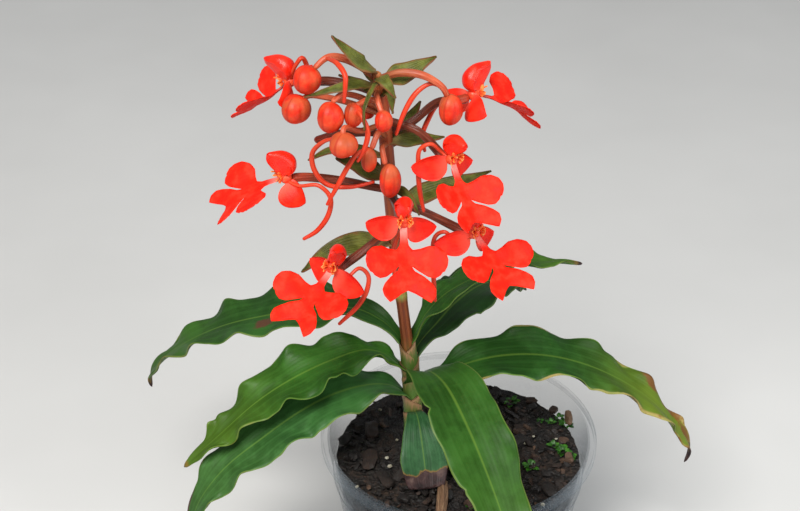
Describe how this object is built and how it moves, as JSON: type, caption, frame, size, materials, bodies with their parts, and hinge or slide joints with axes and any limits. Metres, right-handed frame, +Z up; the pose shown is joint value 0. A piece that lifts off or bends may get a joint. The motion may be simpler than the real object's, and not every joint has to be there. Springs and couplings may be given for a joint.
{
  "type": "potted habenaria orchid",
  "caption": "Small ground orchid in a clear plastic pot: a whorl of long waved leaves, one leaning stem, and a head of red flowers with forked lips, spurs and buds.",
  "frame": {"origin": "centre of the pot's flat base, on the surface that it stands on", "axes": "+Z up, along the pot's axis; -Y towards the plant's front, where most flowers look; +X to its right as seen from the front"},
  "size_m": [0.2224, 0.1506, 0.2537],
  "materials": {
    "clear_plastic": "clear, thin-walled, glossy",
    "mix": "dark damp bark and peat, matt",
    "stem": "grooved reddish-brown skin, satin",
    "leaf": "deep green leaf, satin",
    "bract": "green with brown edges, satin",
    "petal": "vermilion petal, soft satin",
    "stalk": "brownish-red skin, satin",
    "bud": "orange-red bud, satin"
  },
  "bodies": {
    "root": {"pot": "clear_plastic", "potting_mix": "mix", "stem": "stem", "leaf_1": "leaf", "leaf_2": "leaf", "leaf_3": "leaf", "leaf_4": "leaf", "leaf_5": "leaf", "leaf_6": "leaf", "leaf_7": "leaf", "leaf_8": "leaf", "bract_01": "bract", "bract_02": "bract", "bract_03": "bract", "bract_04": "bract", "bract_05": "bract", "bract_06": "bract", "bract_07": "bract", "bract_08": "bract", "bract_09": "bract", "bract_10": "bract", "bract_11": "bract", "bract_12": "bract", "bract_13": "bract", "bract_14": "bract", "bract_15": "bract", "flower_1_bloom": "petal", "flower_1_stalk": "stalk", "flower_2_bloom": "petal", "flower_2_stalk": "stalk", "flower_3_bloom": "petal", "flower_3_stalk": "stalk", "flower_4_bloom": "petal", "flower_4_stalk": "stalk", "flower_5_bloom": "petal", "flower_5_stalk": "stalk", "flower_6_bloom": "petal", "flower_6_stalk": "stalk", "flower_7_bloom": "petal", "flower_7_stalk": "stalk", "bud_01": "bud", "bud_02": "bud", "bud_03": "bud", "bud_04": "bud", "bud_05": "bud", "bud_06": "bud", "bud_07": "bud", "bud_08": "bud", "bud_09": "bud", "bud_10": "bud", "spent_ovary": "stalk"}
  },
  "joints": []
}
